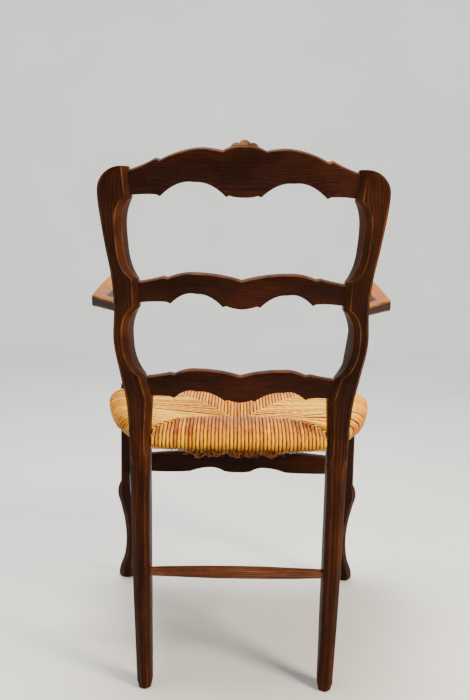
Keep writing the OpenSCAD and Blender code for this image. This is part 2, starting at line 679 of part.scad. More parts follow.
module rear_stretcher() {
    color(WALNUT) translate([-rear_str_l / 2, post_y(rear_str_z), rear_str_z]) turned(rear_str_l);
}
module side_stretcher() {
    color(WALNUT) at_side_stretcher() translate([side_str_in, 0, 0]) turned(side_str_l);
}
module side_stretcher_left() { side_stretcher(); }
module side_stretcher_right() { mirror([1, 0, 0]) side_stretcher(); }

module rail_pegs(x, z) {
    front = post_t(z) / 2 / cos(post_lean(z)) + 0.5;
    at_rail(z) both_sides() translate([x + peg_in, -front, 0]) rotate([-90, 0, 0])
        cylinder(d = peg_d, h = front + peg_back - fit);
}
module crest_pegs() { color(PEG) rail_pegs(end_x, crest_z); }
module slat_pegs() {
    color(PEG) {
        rail_pegs(mid_x, mid_z);
        rail_pegs(low_x, low_z);
    }
}
module apron_pegs() {
    color(PEG) both_sides() translate([apron_x + peg_in, y_front - leg_w / 2 - 0.5, apron_z])
        rotate([-90, 0, 0]) cylinder(d = peg_d, h = leg_w / 2 + tenon_t / 2 + 5);
}
module arm_pegs() {
    color(PEG) both_sides() at_support_top() translate([-arm_w / 2 - 0.5, 0, arm_peg_z])
        bar_x(peg_d - 1, arm_w / 2 + 9);
}

rear_post_left();
rear_post_right();
crest_rail();
upper_slat();
lower_slat();
front_leg_left();
front_leg_right();
front_apron();
front_seat_rail();
rear_seat_rail();
side_seat_rail_left();
side_seat_rail_right();
rush_seat();
seat_stuffing();
arm_left();
arm_right();
rear_stretcher();
side_stretcher_left();
side_stretcher_right();
crest_pegs();
slat_pegs();
apron_pegs();
arm_pegs();
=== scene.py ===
# %% [markdown]
# # A ladder-back armchair with a rush seat
#
# A country armchair: two shaped rear posts, a carved crest rail and two wavy slats between them,
# cabriole front legs that carry the arms, and a seat wound from twisted rush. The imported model
# gives every part its place. Here each part gets its real surface: eased edges, hand-cut faces,
# grain, wear, and a seat laid strand by strand.

# %% Load the frame
import math
import random

import bpy
import bmesh
import numpy as np
from mathutils import Matrix, Vector, noise


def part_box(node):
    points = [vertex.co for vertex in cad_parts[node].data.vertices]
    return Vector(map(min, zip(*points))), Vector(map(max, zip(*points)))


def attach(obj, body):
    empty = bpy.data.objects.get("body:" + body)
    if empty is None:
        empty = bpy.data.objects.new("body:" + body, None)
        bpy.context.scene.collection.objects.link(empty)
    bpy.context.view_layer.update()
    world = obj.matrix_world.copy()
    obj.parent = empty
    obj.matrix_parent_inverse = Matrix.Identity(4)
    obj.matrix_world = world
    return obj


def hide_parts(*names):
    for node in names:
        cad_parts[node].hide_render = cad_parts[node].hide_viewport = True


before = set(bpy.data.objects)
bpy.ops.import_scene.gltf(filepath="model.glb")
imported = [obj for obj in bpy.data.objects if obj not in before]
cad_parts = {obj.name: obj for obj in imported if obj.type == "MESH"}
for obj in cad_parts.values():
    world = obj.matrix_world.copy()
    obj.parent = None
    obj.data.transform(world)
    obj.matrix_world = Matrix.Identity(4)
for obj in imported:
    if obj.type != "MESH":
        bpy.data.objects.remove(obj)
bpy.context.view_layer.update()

# %% [markdown]
# ## Where things are
#
# The scene is in metres and a joiner thinks in millimetres, so shapes are worked out in
# millimetres and turned to metres when a mesh is made. The main heights and depths are measured
# on the frame: rail middles for the depth of the seat, the rush for its height, the posts for
# the back. Smaller sizes, such as a post's width, are the same named sizes as the frame's source.

# %% Measure the frame
MM = 0.001


def low(node):
    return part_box(node)[0] * 1000


def high(node):
    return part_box(node)[1] * 1000


def middle(node):
    return (low(node) + high(node)) / 2


seat_h = high("rush_seat").z
back_h = high("rear_post_left").z
y_rear = middle("rear_seat_rail").y
y_front = middle("front_seat_rail").y
rail_mid = middle("front_seat_rail").z
rail_h = high("front_seat_rail").z - low("front_seat_rail").z
post_w, post_d, leg_w, rail_tenon_l = 38, 40, 46, 15
rear_half = high("rear_seat_rail").x - rail_tenon_l + post_w / 2
front_half = high("front_seat_rail").x - rail_tenon_l + leg_w / 2
crest_z = middle("crest_pegs").z
print("seat", round(seat_h), "back", round(back_h), "rear", round(y_rear, 1), "front", round(y_front, 1),
      "half widths", round(rear_half, 1), round(front_half, 1), "crest", round(crest_z, 1))

# %% [markdown]
# ## Curves and skins
#
# Nearly every part is a bar whose section changes along its length, so one tool makes most of
# the chair: rings of points, one ring a few millimetres from the next, skinned together. Corners
# of a section are eased with a short curve, because no edge on a used chair is sharp, and a
# slow wander of a fraction of a millimetre keeps the faces from looking machined.

# %% Helpers for shapes


def mix(a, b, t):
    return a + (b - a) * t


def clamp01(t):
    return min(1, max(0, t))


def part_of(z, lo, hi):
    return (z - lo) / (hi - lo)


def scoop(t, p):
    return 1 - abs(2 * clamp01(t) - 1) ** p


def spline(st, z, k):
    """Smooth curve through stations [z, a, b, ...]."""
    n = len(st) - 1
    i = next((j for j in range(n) if z < st[j + 1][0]), n - 1)
    h = st[i + 1][0] - st[i][0]
    t = clamp01((z - st[i][0]) / h)
    m0 = st[1][k] - st[0][k] if i == 0 else (st[i + 1][k] - st[i - 1][k]) / (st[i + 1][0] - st[i - 1][0]) * h
    m1 = st[n][k] - st[n - 1][k] if i + 1 == n else (st[i + 2][k] - st[i][k]) / (st[i + 2][0] - st[i][0]) * h
    return ((2 * t**3 - 3 * t * t + 1) * st[i][k] + (t**3 - 2 * t * t + t) * m0
            + (3 * t * t - 2 * t**3) * st[i + 1][k] + (t**3 - t * t) * m1)


def curve(corners, n=20):
    """Points along corners [x, z, bulge of the stretch to the next corner]."""
    pts = []
    for p, q in zip(corners, corners[1:]):
        for t in np.arange(n) / n:
            pts.append((mix(p[0], q[0], t), mix(p[1], q[1], t) + 4 * p[2] * t * (1 - t)))
    pts.append((corners[-1][0], corners[-1][1]))
    return np.array(pts)


def eased(corners, ease, n=4):
    """A closed section whose corners are rounded off over a length of ease."""
    pts = []
    m = len(corners)
    radii = [ease] * m if np.isscalar(ease) else ease
    for i in range(m):
        p = np.array(corners[i], float)
        u, v = np.array(corners[i - 1], float) - p, np.array(corners[(i + 1) % m], float) - p
        ru = min(radii[i], np.linalg.norm(u) * 0.45)
        rv = min(radii[i], np.linalg.norm(v) * 0.45)
        u, v = u / np.linalg.norm(u) * ru, v / np.linalg.norm(v) * rv
        for t in np.linspace(0, 1, n):
            pts.append(p + u * (1 - t) ** 2 + v * t * t)
    return np.array(pts)


def levels(stops, gap):
    """Heights that hit every stop, with others between them no more than gap apart."""
    out = [stops[0]]
    for a, b in zip(stops, stops[1:]):
        n = max(1, math.ceil((b - a) / gap))
        out += [mix(a, b, (i + 1) / n) for i in range(n)]
    return out


noise.seed_set(11)      # noise vectors follow the clock unless they are seeded


def wander(p, scale, size):
    """A slow random shift, the same each run, for hand-worked faces."""
    q = Vector(p) * scale
    return np.array(noise.noise_vector(q)) * size


def tube_faces(rings, sides, first=0, caps=True):
    """Quads between rings of points, and a cap at each end."""
    i, j = np.meshgrid(np.arange(rings - 1), np.arange(sides), indexing="ij")
    k = (j + 1) % sides
    quads = np.stack([i * sides + j, i * sides + k, (i + 1) * sides + k, (i + 1) * sides + j], -1)
    faces = (quads.reshape(-1, 4) + first).tolist()
    if caps:
        faces.append([first + s for s in range(sides - 1, -1, -1)])
        faces.append([first + (rings - 1) * sides + s for s in range(sides)])
    return faces


def in_scene(name, data):
    """A new object for a mesh, a lamp or a camera, linked to the scene."""
    made = bpy.data.objects.new(name, data)
    bpy.context.scene.collection.objects.link(made)
    return made


def make_piece(name, points, faces, material, stands_for=(), sharp=40):
    """A mesh piece from points in millimetres, which rides on the chair's one body."""
    mesh = bpy.data.meshes.new(name)
    mesh.from_pydata((np.asarray(points, float) * MM).tolist(), [], faces)
    bm = bmesh.new()
    bm.from_mesh(mesh)
    bmesh.ops.recalc_face_normals(bm, faces=bm.faces)
    bm.to_mesh(mesh)
    bm.free()
    mesh.shade_smooth()
    mesh.set_sharp_from_angle(angle=math.radians(sharp))
    made = in_scene(name, mesh)
    mesh.materials.append(material)
    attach(made, "root")
    if stands_for:
        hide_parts(*stands_for)
    print(f"{name}: {len(mesh.vertices)} points")
    return made


def give(piece, label, values, kind="FLOAT", key="value"):
    """One number or vector for each point of a piece, for its material to read."""
    layer = piece.data.attributes.new(label, kind, "POINT")
    layer.data.foreach_set(key, np.asarray(values, float).ravel())


def rub(sides, corners, flats):
    """How worn each point of a section is, painted highlight included: by its corner, or by the flat that
    follows it.
    """
    ease = sides // len(corners)
    return np.concatenate([[flats[i - 1]] + [c] * (ease - 2) + [flats[i]] for i, c in enumerate(corners)])


def grain_of(rings, bends):
    """Each point's place across and along its bar, so that the grain runs along a bent bar."""
    centres = rings.mean(axis=1)
    run = np.concatenate([[0], np.cumsum(np.linalg.norm(np.diff(centres, axis=0), axis=1))])
    if not bends:
        centres[:, 2] = centres[:, 2].mean()
    local = rings - centres[:, None]
    flat = local[..., :2]
    if np.ptp(rings[0][:, 2]) > 1:      # a section that stands up, as on a board
        facing = flat[:, :1] / np.linalg.norm(flat[:, :1], axis=-1, keepdims=True)
        flat = np.stack([(flat * facing).sum(-1), local[..., 2]], -1)
    return np.concatenate([flat, np.broadcast_to(run[:, None, None], (*flat.shape[:2], 1))], -1) * MM


def loft(name, rings, material, slot, stands_for=(), mirror=False, rough=0.25, sharp=40,
         corners=(0,), flats=(0,), bends=True, along=None):
    """A skin over rings with equal counts of points; along scales the wear and painted highlight, ring by
    ring.
    """
    sides = len(rings[0])
    own_start = 0.7 * (len(name) % 7) + mirror      # so that no two pieces show the same grain
    grain = grain_of(np.array(rings, float), bends) + [0, 0, own_start]
    pts = np.array(rings, float).reshape(-1, 3)
    if mirror:
        pts[:, 0] *= -1
    if rough:
        pts = np.array([p + wander(p, 0.03, rough) for p in pts])
    made = make_piece(name, pts, tube_faces(len(rings), sides), material, stands_for, sharp)
    along = np.ones(len(rings)) if along is None else along
    give(made, "wear_and_highlight", np.outer(along, rub(sides, corners, flats)))
    give(made, "grain", grain, "FLOAT_VECTOR", "vector")


def pair(name, rings, material, slot, node, **finish):
    """A left piece and its mirror image on the right."""
    for side, mirror in (("left", False), ("right", True)):
        loft(f"{name}_{side}", rings, material, slot, [f"{node}_{side}"], mirror, **finish)


# %% [markdown]
# ## Camera, floor and light
#
# The chair is seen from behind at standing height. A normal lens from about a metre and a half
# behind the rear feet gives its foreshortening, tilted down a little. The floor is pale and
# curves up into a round wall, so that it is plain from every side. One soft light on the right
# does most of the work, a weaker one on the left fills in, a broad one hangs overhead, and the
# last one lightens the wall.

# %% Camera
camera_data = bpy.data.cameras.new("camera")
camera_data.sensor_width, camera_data.lens = 36, 46.2857
camera = in_scene("camera", camera_data)
leg_kick = 55
camera_back, camera_height, look_down, lean = 1.53, 0.848, 8.5, 1.0
spot = Vector((0.010, (y_rear + leg_kick) * MM + camera_back, camera_height))
turn = Matrix.Rotation(math.pi, 4, "Z") @ Matrix.Rotation(math.radians(90 - look_down), 4, "X")
camera.matrix_world = Matrix.Translation(spot) @ turn @ Matrix.Rotation(math.radians(lean), 4, "Z")
bpy.context.scene.camera = camera
print("lens", round(camera_data.lens, 2), "mm, camera at", [round(v, 3) for v in spot])

# %% Nodes and colours


def linear(colour):
    """An sRGB hex colour as linear red, green, blue and alpha."""
    parts = [int(colour[i:i + 2], 16) / 255 for i in (1, 3, 5)]
    return [c / 12.92 if c <= 0.04045 else ((c + 0.055) / 1.055) ** 2.4 for c in parts] + [1]


def feed(tree, node, inputs):
    """Give a node's inputs their numbers or other nodes' outputs."""
    for key, value in dict(inputs).items():
        if isinstance(value, bpy.types.NodeSocket):
            tree.links.new(value, node.inputs[key])
        else:
            node.inputs[key].default_value = value


def add(tree, kind, inputs=(), stops=(), **settings):
    """One node, with its settings, its inputs (numbers or other nodes' outputs) and ramp stops."""
    made = tree.nodes.new("ShaderNode" + kind)
    for key, value in settings.items():
        setattr(made, key, value)
    feed(tree, made, inputs)
    for i, (place, colour) in enumerate(stops):
        dots = made.color_ramp.elements
        dot = dots[i] if i < 2 else dots.new(place)
        dot.position = place
        dot.color = linear(colour)
    return made


def new_material(name):
    material = bpy.data.materials.new(name)
    material.use_nodes = True
    tree = material.node_tree
    return material, tree, tree.nodes["Principled BSDF"]


# %% Floor
concrete, tree, shader = new_material("pale_floor")
place = add(tree, "TexCoord").outputs["Object"]
STAIN = 1000 / 2.2      # mm across a faint cloud in the floor
cloud = add(tree, "TexNoise", {"Vector": place, "Scale": 1000 / STAIN, "Detail": 5.0}).outputs["Fac"]
tone = add(tree, "ValToRGB", {"Fac": cloud}, stops=[(0.3, "#dcdfe1"), (0.75, "#e6e9eb")]).outputs["Color"]
feed(tree, shader, {"Base Color": tone, "Roughness": 0.75})

floor_r, bend_r, wall_top, around = 3.4, 1.1, 4.6, 72
profile = [(floor_r, 0.0)]
profile += [(floor_r + bend_r * math.sin(a), bend_r * (1 - math.cos(a)))
            for a in np.linspace(0.1, math.pi / 2, 14)]
profile.append((floor_r + bend_r, wall_top))
turns = np.arange(around) * 2 * math.pi / around
points = [(r * math.cos(a), r * math.sin(a), z) for r, z in profile for a in turns]
faces = [f[::-1] for f in tube_faces(len(profile), around, caps=False)] + [list(range(around))]
mesh = bpy.data.meshes.new("floor")
mesh.from_pydata(points, [], faces)
mesh.shade_smooth()
floor = in_scene("floor", mesh)
mesh.materials.append(concrete)
print("floor and its round wall:", len(faces), "faces")

# %% Lights
world = bpy.data.worlds.new("studio")
bpy.context.scene.world = world
world.use_nodes = True
feed(world.node_tree, world.node_tree.nodes["Background"], {"Color": linear("#d5dbe2"), "Strength": 0.3})


def soft_light(name, at, aim, size, watts, colour):
    data = bpy.data.lights.new(name, "AREA")
    data.shape, data.size, data.energy = "SQUARE", size, watts
    data.color = linear(colour)[:3]
    light = in_scene(name, data)
    light.location = at
    light.rotation_euler = (Vector(aim) - Vector(at)).to_track_quat("-Z", "Y").to_euler()


seat_middle = (0, 0, seat_h * MM)
soft_light("key", (-1.75, 1.45, 1.75), seat_middle, 0.7, 112, "#ffeac8")
soft_light("fill", (2.2, 1.8, 1.0), seat_middle, 1.6, 9, "#f4f1ee")
soft_light("top", (0.3, -0.2, 2.9), seat_middle, 1.2, 112, "#fff6e4")
soft_light("backdrop", (0.0, -1.6, 3.6), (0, -3.6, 0.7), 2.0, 90, "#f6f8ff")
print("4 soft lights and a pale sky")

# %% [markdown]
# ## Varnished walnut-stained beech
#
# The frame is close-grained hardwood, stained dark walnut and varnished by hand, then rubbed by
# a century of use. Three things tell it apart from paint: growth rings that run along each bar
# and arch on its flat faces, dark pores a fraction of a millimetre wide, and a lighter, redder
# colour where edges have worn through the stain. The rings are a ring pattern round an
# axis beside the bar, stretched along the grain, and the pores are a fine noise stretched even
# more. A bevel normal could find the edges, but it is grainy, so each piece carries a number on
# its corners instead. On the posts' inner rear chamfers and along the boards' tops the same number
# also paints a highlight, lighter and redder where light falls on them. One function makes every
# wood here, so that the woods differ only in their colours, grain direction and polish.

# %% Wood
RING_GAP = 3.4          # mm between growth rings
PORE = 0.55             # mm across a pore, drawn twice its real width so that it shows
STREAK = 1.8            # mm across a streak of stain
CLOUD = 1000 / 14       # mm across a lighter or darker part of the board
WORN_PATCH = 1000 / 30  # mm across a patch where an edge is worn


def varnished_wood(name, along, dark, body, light, wear_and_highlight_colour, polish=0.42, wear=0.75, top=None):
    """along is the axis of the grain, or "bar" to follow the bar; top colours the faces hands rub."""
    material, tree, shader = new_material(name)
    if along == "bar":
        along, place = "Z", add(tree, "Attribute", attribute_name="grain").outputs["Vector"]
    else:
        place = add(tree, "TexCoord").outputs["Object"]
    axis = "XYZ".index(along)

    def stretched(amount, shift):
        scale = [1.0, 1.0, 1.0]
        scale[axis] = amount
        return add(tree, "Mapping", {"Vector": place, "Scale": scale, "Location": shift}).outputs[0]

    ring_place = stretched(0.07, (0.043, 0.052, 0.03))
    ring_scale = 2 * math.pi / (20 * RING_GAP * MM)     # a wave repeats every 2 pi / (20 * scale)
    rings = add(tree, "TexWave", {"Vector": ring_place, "Scale": ring_scale, "Distortion": 5.0,
                                  "Detail": 3.0, "Detail Scale": 0.25, "Detail Roughness": 0.6},
                wave_type="RINGS", rings_direction=along, wave_profile="SAW").outputs["Fac"]
    streaks = add(tree, "TexNoise", {"Vector": stretched(0.018, (0, 0, 0)), "Scale": 1000 / STREAK,
                                     "Detail": 4.0, "Roughness": 0.5}).outputs["Fac"]
    pores = add(tree, "TexNoise", {"Vector": stretched(0.035, (0.5, 0.2, 0.1)), "Scale": 1000 / PORE,
                                   "Detail": 2.0}).outputs["Fac"]
    blotch = add(tree, "TexNoise", {"Vector": stretched(0.5, (0.3, 0.1, 0.7)), "Scale": 1000 / CLOUD,
                                    "Detail": 4.0, "Roughness": 0.55}).outputs["Fac"]

    grain = 0.0
    for part, share in ((rings, 0.3), (streaks, 0.75), (blotch, 1.1)):
        grain = add(tree, "Math", {0: part, 1: share, 2: grain}, operation="MULTIPLY_ADD").outputs[0]
    grain = add(tree, "MapRange", {"Value": grain, "From Min": 0.62, "From Max": 1.5}).outputs[0]
    tone = add(tree, "ValToRGB", {"Fac": grain},
               stops=[(0.05, dark), (0.95, light), (0.5, body)]).outputs["Color"]
    if top:
        facing = add(tree, "SeparateXYZ", {0: add(tree, "NewGeometry").outputs["Normal"]}).outputs["Z"]
        bare = add(tree, "Math", {0: streaks, 1: 0.5, 2: facing}, operation="MULTIPLY_ADD").outputs[0]
        bare = add(tree, "MapRange", {"Value": bare, "From Min": 0.75, "From Max": 1.15}).outputs[0]
        honey = add(tree, "ValToRGB", {"Fac": grain},
                    stops=[(0.05, top[0]), (0.95, top[2]), (0.5, top[1])]).outputs["Color"]
        tone = add(tree, "Mix", {0: bare, 6: tone, 7: honey}, data_type="RGBA").outputs[2]

    # Edge wear, and on some faces a painted highlight, both mixed in as the lighter, redder colour.
    wear_and_highlight = add(tree, "Attribute", attribute_name="wear_and_highlight").outputs["Fac"]
    patchy = add(tree, "TexNoise", {"Vector": place, "Scale": 1000 / WORN_PATCH,
                                    "Detail": 4.0}).outputs["Fac"]
    patchy = add(tree, "MapRange", {"Value": patchy, "From Min": 0.36, "From Max": 0.62,
                                    "To Min": 0.08 * wear, "To Max": wear}).outputs[0]
    edge = add(tree, "Math", {0: wear_and_highlight, 1: patchy}, operation="MULTIPLY").outputs[0]
    tone = add(tree, "Mix", {0: edge, 6: tone, 7: linear(wear_and_highlight_colour)}, data_type="RGBA").outputs[2]

    holes = add(tree, "MapRange", {"Value": pores, "From Min": 0.34, "From Max": 0.46,
                                   "To Min": 0.45, "To Max": 0.0}).outputs[0]
    tone = add(tree, "Mix", {0: holes, 6: tone, 7: linear(dark)}, data_type="RGBA").outputs[2]

    gloss = add(tree, "MapRange", {"Value": blotch, "From Min": 0.3, "From Max": 0.7,
                                   "To Min": polish - 0.05, "To Max": polish + 0.14}).outputs[0]
    relief = add(tree, "Bump", {"Strength": 0.35, "Distance": 0.25 * MM, "Height": pores}).outputs[0]
    relief = add(tree, "Bump", {"Strength": 0.25, "Distance": 0.6 * MM, "Height": streaks,
                                "Normal": relief}).outputs[0]
    feed(tree, shader, {"Base Color": tone, "Roughness": gloss, "Normal": relief, "IOR": 1.5,
                        "Specular IOR Level": 0.08})
    return material


post_wood = varnished_wood("walnut_stained_upright", "bar", dark="#0c0200", body="#250c02",
                           light="#45200a", wear_and_highlight_colour="#9a5c2a", wear=0.5)
rail_wood = varnished_wood("walnut_stained_across", "bar", dark="#0a0200", body="#250b02",
                           light="#431c08", wear_and_highlight_colour="#8c4e20", wear=0.55)
leg_wood = varnished_wood("walnut_stained_leg", "bar", dark="#090200", body="#200a02",
                          light="#3a1807", wear_and_highlight_colour="#7a4824", wear=0.5)
side_wood = varnished_wood("walnut_stained_side", "bar", dark="#0a0200", body="#240c03",
                           light="#431d08", wear_and_highlight_colour="#86502a")
stretcher_wood = varnished_wood("worn_stretcher", "bar", dark="#260e06", body="#5c3422", light="#93664c",
                                wear_and_highlight_colour="#a9795a", polish=0.45)
arm_wood = varnished_wood("rubbed_arm_top", "bar", dark="#0e0400", body="#241003", light="#40220c",
                          wear_and_highlight_colour="#98602c", polish=0.4, wear=0.8, top=("#5a2a04", "#8e5010", "#bd7c28"))
flower_wood = varnished_wood("rubbed_carving", "X", dark="#220e04", body="#4c2812", light="#7e4e2c",
                             wear_and_highlight_colour="#ab7a4e", wear=0.9)
peg_wood = varnished_wood("pegs_stained", "Y", dark="#120602", body="#2c1408", light="#4a2814",
                          wear_and_highlight_colour="#80563a", polish=0.5)
bare_wood = varnished_wood("bare_rails", "X", dark="#7a5533", body="#a67c50", light="#c39a6b",
                           wear_and_highlight_colour="#c39a6b", polish=0.7, wear=0.2)
print(len(bpy.data.materials), "materials so far")

# %% [markdown]
# ## Rear posts
#
# Each rear post is sawn from one plank: kicked back to the foot, upright at the seat and raked
# back above it. It has a flat rear face, a wide chamfer on the inner rear arris, and an inner
# face that stays flat at the three joints and is scooped out between them. It could be a curve
# with a profile, but the section changes too much along the way, so it is a loft with eight
# eased corners and a ring every few millimetres.

# %% Post shape
back_rake, crest_end, slat_end, slat_rise = 80, 41, 37, 80
post_chamfer, shoulder_r, post_splay, post_top_t = 11, 40, 45, 34
rear_str_z = middle("rear_stretcher").z
low_z = seat_h + slat_rise
mid_z = low_z + (crest_z - low_z) * 0.48
crest_block = (crest_z - crest_end / 2 - 2, crest_z + crest_end / 2 + 2)
mid_block = (mid_z - slat_end / 2 - 6, mid_z + slat_end / 2 + 6)
low_block = (low_z - slat_end / 2 - 3, low_z + slat_end / 2 + 3)
foot_in, post_foot_w = 15.5, 27
shoulder_z = back_h - shoulder_r

post_outer = [
    (0, -foot_in + post_foot_w / 2), (rear_str_z, 9.5), (seat_h, post_w / 2),
    (low_block[0], post_w / 2 + 5), (low_block[1], post_w / 2 + 14),
    ((low_block[1] + mid_block[0]) / 2, post_w / 2 + 25), (mid_block[0], post_w / 2 + 23),
    (mid_block[1], post_w / 2 + 26), ((mid_block[1] + crest_block[0]) / 2, post_w / 2 + post_splay - 8),
    (crest_block[0], post_w / 2 + post_splay), (back_h, post_w / 2 + post_splay - 2)]
# the inner face: top of each stretch, where the face is there, depth and power of its scoop
post_inner_face = [
    (0, -foot_in - post_foot_w / 2, 0, 1), (seat_h, -post_w / 2, 0, 1),
    (low_block[0], -post_w / 2 - 3, 0, 1), (low_block[1], -post_w / 2 + 9, 0, 1),
    (mid_block[0], -post_w / 2 + 17, 17, 2.5), (mid_block[1], -post_w / 2 + 18.5, 0, 1),
    (crest_block[0], -post_w / 2 + post_splay - 18, 14, 3),
    (crest_block[1], -post_w / 2 + post_splay - 15, 0, 1)]
# where the inner face slants to its front edge: from, to, and how far
post_slants = [(30, seat_h - 60, 2.8), (low_block[1], mid_block[0], 7), (mid_block[1], crest_block[0], 7)]


def post_back(z):
    if z < seat_h:
        return leg_kick * (1 - z / seat_h) ** 1.15
    return back_rake * ((z - seat_h) / (back_h - seat_h)) ** 1.5


def post_lean(z):
    return math.atan((post_back(z + 1) - post_back(z - 1)) / 2)


def post_y(z):
    return y_rear + post_back(z)


def post_t(z):
    if z < seat_h:
        return mix(post_top_t, post_d, z / seat_h)
    return mix(post_d, post_top_t, part_of(z, seat_h, back_h))


def post_out(z):
    if z <= shoulder_z:
        return rear_half + spline(post_outer, z, 1)
    round_in = shoulder_r * (1 - math.sqrt(max(0, 1 - ((z - shoulder_z) / shoulder_r) ** 2)))
    return rear_half + spline(post_outer, shoulder_z, 1) - round_in


def post_in(z):
    last = len(post_inner_face) - 1
    n = next((i for i in range(1, last) if z < post_inner_face[i][0]), last)
    (lo, start, *_), (hi, end, depth, power) = post_inner_face[n - 1:n + 1]
    t = part_of(z, lo, hi)
    return rear_half + mix(start, end, t) + depth * scoop(t, power)


def post_slant(z):
    return sum(depth * scoop(part_of(z, lo, hi), 8) for lo, hi, depth in post_slants)


def post_ring(z):
    cut = 3 * (1 - z / 12) if z < 12 else 0
    chamfer = 8 * clamp01((seat_h - 40 - z) / 20) if z < seat_h else 0
    t, y, o, i, s = post_t(z) / 2 - cut, post_y(z), post_out(z) - cut, post_in(z) + cut, post_slant(z)
    f, r, c = 3 + chamfer / 2, 3 + chamfer * 0.6, post_chamfer - 3 * clamp01(chamfer)
    section = eased([(o - f, y - t), (o, y - t + f), (o, y + t - r), (o - r, y + t),
                     (i + s + c, y + t), (i + s, y + t - c), (i, y - t + f), (i + f, y - t)], 1.6)
    return [(*p, z) for p in section]


# %% Make the posts
post_levels = levels([0, 4, 12, seat_h - 60, seat_h - 42, seat_h - 20, seat_h, low_block[0], low_block[1],
                      mid_block[0], mid_block[1], crest_block[0], shoulder_z], 5)
post_levels += [shoulder_z + shoulder_r * math.sin(a) for a in np.linspace(0.12, math.pi / 2, 12)]
post_rings = [post_ring(z) for z in post_levels]
# The inner rear chamfer gets the highest numbers (corners 0.9 and 0.7, its flat 0.12): partly edge wear,
# partly a painted highlight that lightens the chamfer where light falls on it.
pair("post", post_rings, post_wood, "walnut_stained_wood", "rear_post",
     corners=(0.3, 0.3, 0.6, 0.5, 0.9, 0.7, 0.4, 0.3), flats=(0, 0, 0.1, 0, 0.12, 0, 0, 0),
     along=[mix(0.35, 1, clamp01((z - seat_h + 80) / 160)) for z in post_levels])

# %% [markdown]
# ## Crest rail and slats
#
# The crest and the two slats are bandsawn boards with the same family of outline: long arches
# that meet in small cusps, worked by eye, so each board has its own. A board bows back a few
# millimetres for comfort and leans with the posts. Each is a loft along its length, so that its
# edge can follow the outline closely and still have a soft arris.

# %% Board shape
slat_t, slat_bow, crest_rise = 17, 7, 66
end_x, mid_x, low_x = post_in(crest_z), post_in(mid_z), post_in(low_z)
into_post = 3           # how far a board's end runs into the post, so that no gap shows


def leaning(z, x, y, up):
    """A point beside a rail's own middle, put at the rail's place and lean between the posts."""
    tilt = post_lean(z)
    return (x, post_y(z) + y * math.cos(tilt) + up * math.sin(tilt),
            z - y * math.sin(tilt) + up * math.cos(tilt))


def edges_at(x, *edges):
    """Heights of a board's edges at x; an edge is a curve from the board's end in to its middle."""
    return [np.interp(abs(x), edge[::-1, 0], edge[::-1, 1]) for edge in edges]


def board(name, z, top, bottom, half, node):
    top, bottom, t = curve(top), curve(bottom), slat_t / 2
    rings = []
    for x in levels([-half - into_post, half + into_post], 1.4):
        hi, lo = edges_at(x, top, bottom)
        bow = slat_bow * (1 - (x / half) ** 2)
        section = eased([(t, lo), (t, hi), (-t, hi), (-t, lo)], 2.2)
        rings.append([leaning(z, x, y + bow, up) for y, up in section])
    # The top arrises (0.8 rear, 0.7 front) and the top face (0.3) are lightened most: partly wear, partly a
    # painted highlight along the board's top.
    loft(name, rings, rail_wood, "walnut_stained_wood", [node], sharp=50,
         corners=(0.4, 0.8, 0.7, 0.4), flats=(0, 0.3, 0, 0.1), bends=False)


# %% Make the boards
board("crest", crest_z,
      [(end_x + 9, 21, -2), (end_x - 42, 43, 0), (end_x - 50, 41, 5), (64, 62, 0.5), (35.5, 58, 3),
       (0, crest_rise, 0)],
      [(end_x + 9, -20, 2), (end_x - 43, -15.5, 0), (end_x - 49, -18.5, 8.5), (82, 6.5, 7.5), (29, -17, 0),
       (24, -14.5, -1), (0, -17.5, 0)],
      end_x, "crest_rail")
board("slat_upper", mid_z,
      [(mid_x + 9, 18.5, -1), (mid_x - 42, 30, 0), (mid_x - 50, 28.5, 3), (78, 38, 3), (0, 26, 0)],
      [(mid_x + 9, -18, 2), (mid_x - 48, -13.5, 0), (mid_x - 54, -16.5, 7.5), (78, 2, 6.5), (32, -20.5, 0),
       (27, -18, -1), (0, -24, 0)],
      mid_x, "upper_slat")
board("slat_lower", low_z,
      [(low_x + 9, 18.5, -1), (low_x - 38, 27, 0), (low_x - 46, 25.5, 3), (75, 34.5, 3), (0, 24, 0)],
      [(low_x + 9, -18, 2), (low_x - 39, -15.5, 0), (low_x - 45, -18.5, 6.5), (77, -5, 5.5), (26, -21.5, 0),
       (21, -19, -1), (0, -24, 0)],
      low_x, "lower_slat")

# %% [markdown]
# ## The carved flower
#
# The middle of the crest carries a small fan of petals with a leaf on each side, cut from the
# solid. The tallest petals break the top line of the rail, so they show from behind as a row of
# light, rubbed lobes. Each petal is a shallow spoon: a domed back, a raised rim and a hollow.

# %% Carving
petal_l, petal_w, petal_r, carving_t, carving_rise = 26, 20, 19, 5, 9
leaf_l, leaf_w, boss_d = 46, 18, 15
fan, fan_step = 76, 38                      # degrees to the last petal, and from one to the next
leaf_turn, leaf_out, leaf_down = 78, 33, 3
petal_sides, petal_rings = 40, 10           # points round a petal, rings from its middle to its rim
carving_z = crest_rise + carving_rise - petal_r - petal_l / 2
carving_y = slat_bow - slat_t / 2 + 1


def spoon(turn_by, reach, length, width, thick, shift):
    """A hollowed leaf on the front of the crest: points in the rail's own x, y, z, and their rubbing."""
    pts, rims = [], []
    c, s = math.cos(turn_by), math.sin(turn_by)
    for j in range(petal_rings):
        k = j / (petal_rings - 1)           # 0 in the middle, 1 on the rim
        rise = thick * (0.62 + 0.38 * math.sin(k * math.pi * 0.62) ** 2) if k < 1 else 0
        for i in range(petal_sides):
            a = 2 * math.pi * i / petal_sides
            x, z = width / 2 * k * math.sin(a), reach + length / 2 * k * math.cos(a)
            x *= 1 + 0.18 * math.cos(a) * k
            pts.append((x * c - z * s + shift[0], -rise, x * s + z * c + shift[1]))
            rims.append(k**3)
    return pts, rims


